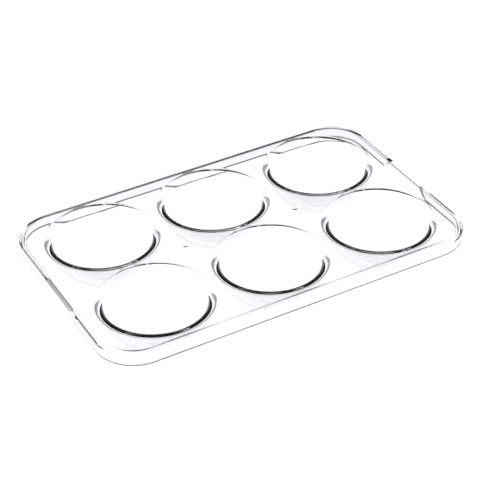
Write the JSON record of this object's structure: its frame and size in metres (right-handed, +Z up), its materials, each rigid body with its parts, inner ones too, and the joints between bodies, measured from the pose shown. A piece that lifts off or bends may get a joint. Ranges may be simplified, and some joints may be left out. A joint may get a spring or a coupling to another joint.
{
  "type": "egg tray",
  "caption": "Clear moulded egg tray with round-bottomed cups in a flat deck, a shallow skirt and a finger notch in each short side.",
  "frame": {"origin": "centre of the footprint, on the surface the cups' feet stand on", "axes": "+X along the rows of three cups, +Y from the front row to the back row, +Z up"},
  "size_m": [0.154, 0.0972, 0.0196],
  "materials": {
    "clear_plastic": "gloss"
  },
  "bodies": {
    "root": {"deck": "clear_plastic", "skirt": "clear_plastic", "egg_cup_front_left": "clear_plastic", "egg_cup_front_middle": "clear_plastic", "egg_cup_front_right": "clear_plastic", "egg_cup_back_left": "clear_plastic", "egg_cup_back_middle": "clear_plastic", "egg_cup_back_right": "clear_plastic", "deck_pip_left": "clear_plastic", "deck_pip_right": "clear_plastic"}
  },
  "joints": []
}
